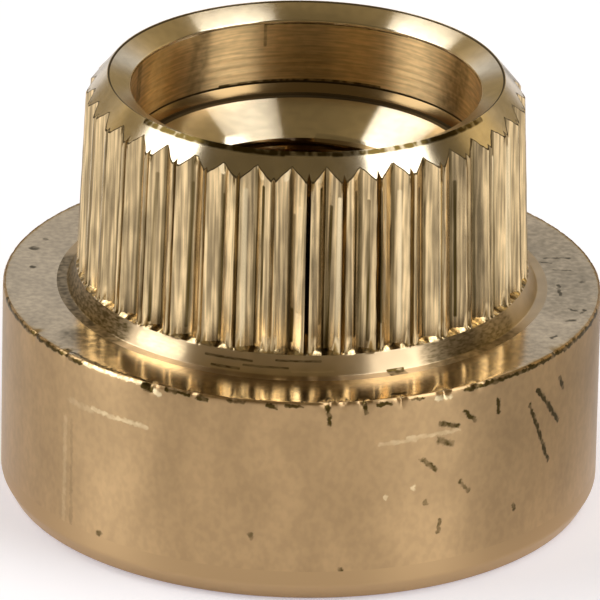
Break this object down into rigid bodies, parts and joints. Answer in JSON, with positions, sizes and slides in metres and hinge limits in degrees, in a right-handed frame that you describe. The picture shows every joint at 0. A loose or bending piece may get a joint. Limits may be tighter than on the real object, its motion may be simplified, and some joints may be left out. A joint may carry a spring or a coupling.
{
  "type": "knurled tee nut",
  "caption": "Turned brass tee nut: thick plain round head, short tapered spigot with a straight knurl, counterbored mouth and a threaded bore right through.",
  "frame": {"origin": "centre of the head's outer face, which is the face that the part rests on", "axes": "+Z along the thread's axis, from the head up through the spigot to its mouth; the part is round about Z"},
  "size_m": [0.0126, 0.0126, 0.0093],
  "materials": {
    "brass": "bare turned brass, satin on the head and knurl, bright in the cuts, with light handling scratches"
  },
  "bodies": {
    "root": {"tee_nut": "brass"}
  },
  "joints": []
}
